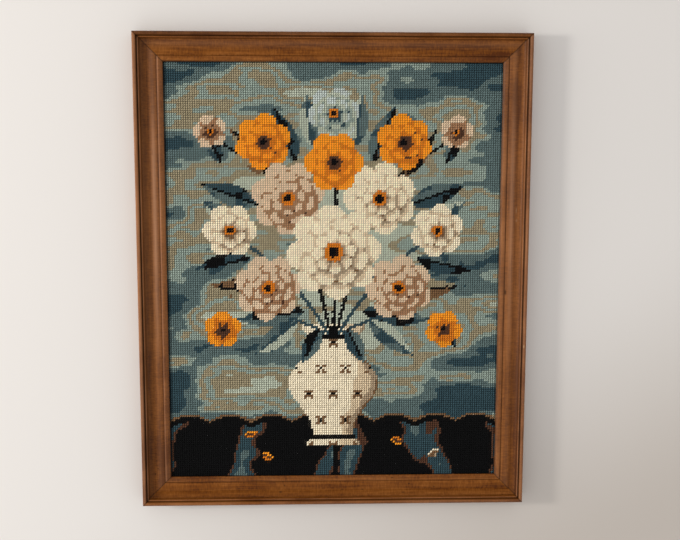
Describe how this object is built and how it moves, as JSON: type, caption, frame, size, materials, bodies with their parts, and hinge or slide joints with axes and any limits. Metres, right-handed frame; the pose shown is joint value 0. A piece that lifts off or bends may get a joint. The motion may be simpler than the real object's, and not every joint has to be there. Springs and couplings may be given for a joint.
{
  "type": "needlepoint canvas panel in a wooden frame",
  "caption": "Flat canvas covered in slanting wool stitches with flowers and leaves on a banded ground, held behind the lip of a slim mitred brown wooden moulding.",
  "frame": {"origin": "middle of the frame's back, on the plane that it lies on", "axes": "+Z out of the stitched face, +Y towards the top of the panel, +X to the right of someone looking at its face"},
  "size_m": [0.39, 0.475, 0.02],
  "materials": {
    "tapestry_wool": "matt wool stitches over a stiff open-weave canvas",
    "stained_wood": "brown stain and thin satin varnish, worn paler on the raised edges"
  },
  "bodies": {
    "root": {"needlepoint_canvas": "tapestry_wool", "rail_top": "stained_wood", "rail_bottom": "stained_wood", "rail_left": "stained_wood", "rail_right": "stained_wood"}
  },
  "joints": []
}
